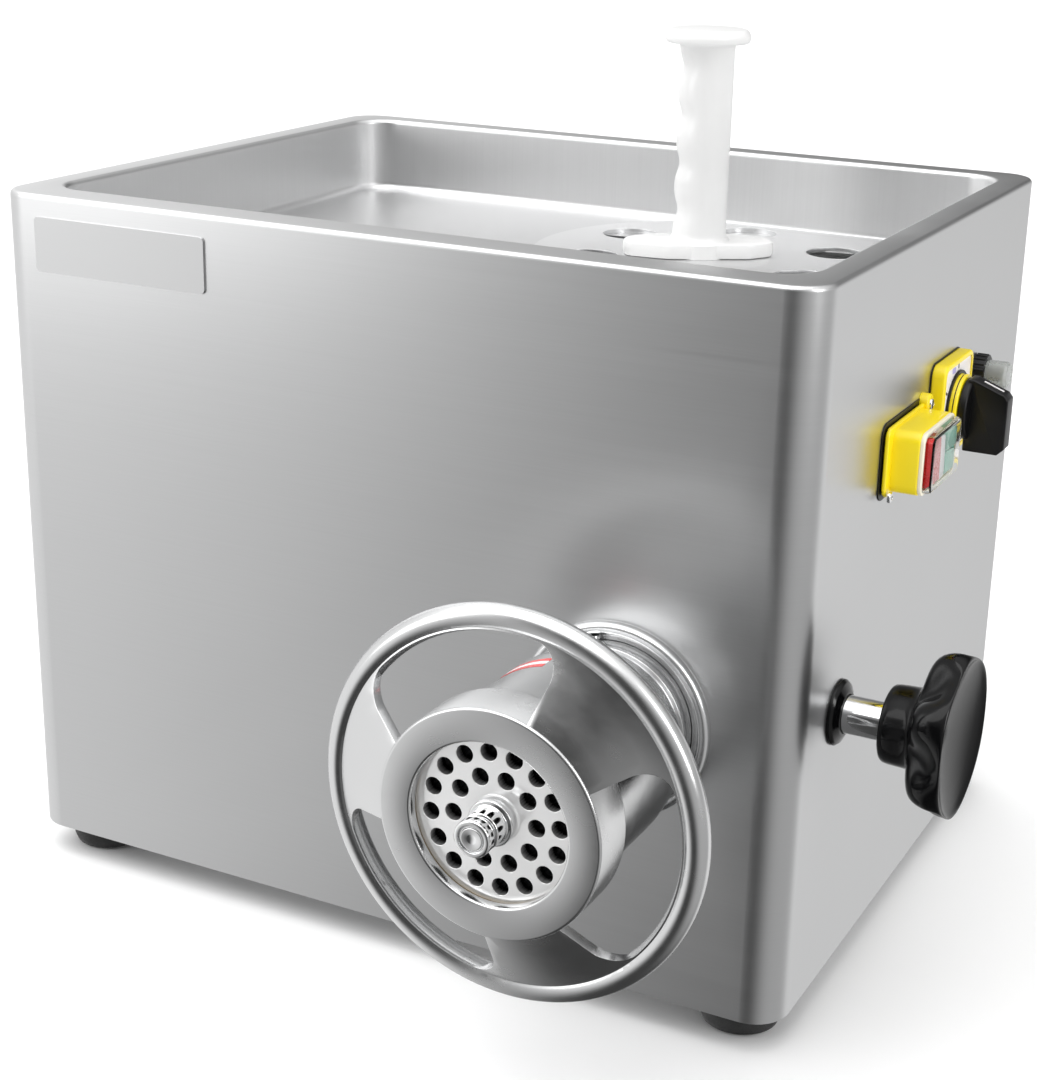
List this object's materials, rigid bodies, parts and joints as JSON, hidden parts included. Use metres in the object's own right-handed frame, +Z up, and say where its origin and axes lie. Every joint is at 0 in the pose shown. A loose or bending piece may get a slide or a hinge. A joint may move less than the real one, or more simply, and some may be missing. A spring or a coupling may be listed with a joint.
{
  "type": "electric meat grinder",
  "caption": "Table-top electric meat grinder: steel casing with a deep feed tray, a side clamp screw, and a removable grinding head with a handwheel ring nut.",
  "frame": {"origin": "on the floor under the rubber feet, at the middle of the whole object's outline", "axes": "+Z up, the grinding head points to -Y, the controls and the clamp knob are on the +X side, the cord gland points to +Y"},
  "size_m": [0.597, 0.611, 0.5341],
  "materials": {
    "brushed_casing": "brushed stainless sheet, satin",
    "name_plate_metal": "brushed aluminium",
    "bright_fasteners": "bright zinc",
    "feet_rubber": "matt",
    "polished_collar": "polished stainless",
    "cast_iron_paint": "grey machine paint",
    "bearing_steel": "ground steel",
    "copper_winding": "enamelled windings on laminations",
    "black_rubber": "matt",
    "black_plastic": "moulded",
    "glossy_black": "polished phenolic",
    "white_plastic": "moulded",
    "pusher_plastic": "glossy food-grade plastic",
    "yellow_plastic": "moulded",
    "clear_cover": "clear soft plastic",
    "cast_head": "polished cast stainless",
    "bronze_bush": "machined bronze",
    "mirror_steel": "mirror polished",
    "polished_nut": "polished stainless",
    "clamp_chrome": "ground and plated",
    "green_plastic": "moulded",
    "red_plastic": "moulded"
  },
  "bodies": {
    "housing": {"casing_shell": "brushed_casing", "tray_pan": "brushed_casing", "feed_guard": "brushed_casing", "feed_chute": "brushed_casing", "base_plate": "brushed_casing", "rear_cover": "brushed_casing", "cover_screws": "bright_fasteners", "rubber_feet": "feet_rubber", "foot_bolts": "bright_fasteners", "head_collar": "polished_collar", "locating_pin": "bright_fasteners", "name_plate": "name_plate_metal", "receiver_sleeve": "polished_collar", "gearbox_housing": "cast_iron_paint", "gearbox_cover": "cast_iron_paint", "gearbox_bolts": "bright_fasteners", "shaft_bearings": "bearing_steel", "shaft_seal": "black_rubber", "motor_frame": "cast_iron_paint", "stator": "copper_winding", "fan_cowl": "cast_iron_paint", "motor_bracket": "cast_iron_paint", "capacitor": "white_plastic", "terminal_block": "black_plastic", "cable_gland": "black_plastic", "gland_nut": "black_plastic", "switch_housing": "yellow_plastic", "switch_boot": "clear_cover", "cam_switch_body": "black_plastic", "cam_switch_plate": "yellow_plastic", "cam_switch_legend": "white_plastic", "breaker_body": "black_plastic", "breaker_nut": "black_plastic", "breaker_boot": "clear_cover", "clamp_bush": "polished_collar", "clamp_collar": "glossy_black"},
    "grinder_head": {"head_barrel": "cast_head", "head_bush": "bronze_bush", "cutting_plate": "mirror_steel", "plate_pin": "bright_fasteners"},
    "auger": {"auger": "mirror_steel", "auger_stud": "mirror_steel", "knife": "mirror_steel"},
    "nut_ring": {"slip_ring": "bronze_bush"},
    "wheel_nut": {"ring_nut": "polished_nut", "handwheel": "polished_nut"},
    "clamp_pad": {"clamp_pad": "bronze_bush"},
    "clamp_screw": {"clamp_shaft": "clamp_chrome", "clamp_knob": "glossy_black"},
    "output_drive": {"output_shaft": "bearing_steel", "output_gear": "bearing_steel"},
    "layshaft": {"layshaft": "bearing_steel"},
    "motor_rotor": {"rotor": "bearing_steel", "cooling_fan": "black_plastic"},
    "pusher": {"pusher": "pusher_plastic"},
    "start_button": {"start_button": "green_plastic"},
    "stop_button": {"stop_button": "red_plastic"},
    "selector": {"selector_handle": "glossy_black"},
    "reset_button": {"reset_button": "black_rubber"}
  },
  "joints": [
    {"name": "head_slide", "type": "slide", "parent": "housing", "child": "grinder_head", "axis": [0, -1, 0], "range_m": [0, 0.26]},
    {"name": "auger_turn", "type": "hinge", "parent": "grinder_head", "child": "auger", "pos_m": [0.1225, -0.2405, 0.188], "axis": [0, -1, 0], "continuous": true},
    {"name": "nut_advance", "type": "slide", "parent": "grinder_head", "child": "nut_ring", "axis": [0, -1, 0], "range_m": [0, 0.0162]},
    {"name": "nut_turn", "type": "hinge", "parent": "nut_ring", "child": "wheel_nut", "pos_m": [0.1225, -0.2635, 0.188], "axis": [0, -1, 0], "range_deg": [0, 1440]},
    {"name": "clamp_advance", "type": "slide", "parent": "housing", "child": "clamp_pad", "axis": [1, 0, 0], "range_m": [0, 0.0077]},
    {"name": "clamp_turn", "type": "hinge", "parent": "clamp_pad", "child": "clamp_screw", "pos_m": [0.2765, -0.0705, 0.188], "axis": [1, 0, 0], "range_deg": [0, 1080]},
    {"name": "rotor_turn", "type": "hinge", "parent": "housing", "child": "motor_rotor", "pos_m": [-0.01575, 0.0095, 0.188], "axis": [0, -1, 0], "continuous": true},
    {"name": "layshaft_turn", "type": "hinge", "parent": "housing", "child": "layshaft", "pos_m": [0.04625, 0.1195, 0.188], "axis": [0, -1, 0], "continuous": true},
    {"name": "output_turn", "type": "hinge", "parent": "housing", "child": "output_drive", "pos_m": [0.1225, 0.1195, 0.188], "axis": [0, -1, 0], "continuous": true},
    {"name": "pusher_lift", "type": "slide", "parent": "housing", "child": "pusher", "axis": [0, 0, 1], "range_m": [0, 0.2]},
    {"name": "start_press", "type": "slide", "parent": "housing", "child": "start_button", "axis": [-1, 0, 0], "range_m": [0, 0.0025], "stiffness_N_per_m": 400, "springref_m": -0.002},
    {"name": "stop_press", "type": "slide", "parent": "housing", "child": "stop_button", "axis": [-1, 0, 0], "range_m": [0, 0.0025], "stiffness_N_per_m": 400, "springref_m": -0.002},
    {"name": "selector_turn", "type": "hinge", "parent": "housing", "child": "selector", "pos_m": [0.2465, 0.0895, 0.328], "axis": [1, 0, 0], "range_deg": [-60, 60]},
    {"name": "reset_press", "type": "slide", "parent": "housing", "child": "reset_button", "axis": [-1, 0, 0], "range_m": [0, 0.003], "stiffness_N_per_m": 400, "springref_m": -0.002}
  ],
  "couplings": [
    {"joint": "layshaft_turn", "follows": "rotor_turn", "ratio": -0.29167},
    {"joint": "output_turn", "follows": "rotor_turn", "ratio": 0.11269},
    {"joint": "auger_turn", "follows": "rotor_turn", "ratio": 0.11269},
    {"joint": "nut_advance", "follows": "nut_turn", "m_per_rad": 0.00063662},
    {"joint": "clamp_advance", "follows": "clamp_turn", "m_per_rad": 0.00039789}
  ]
}
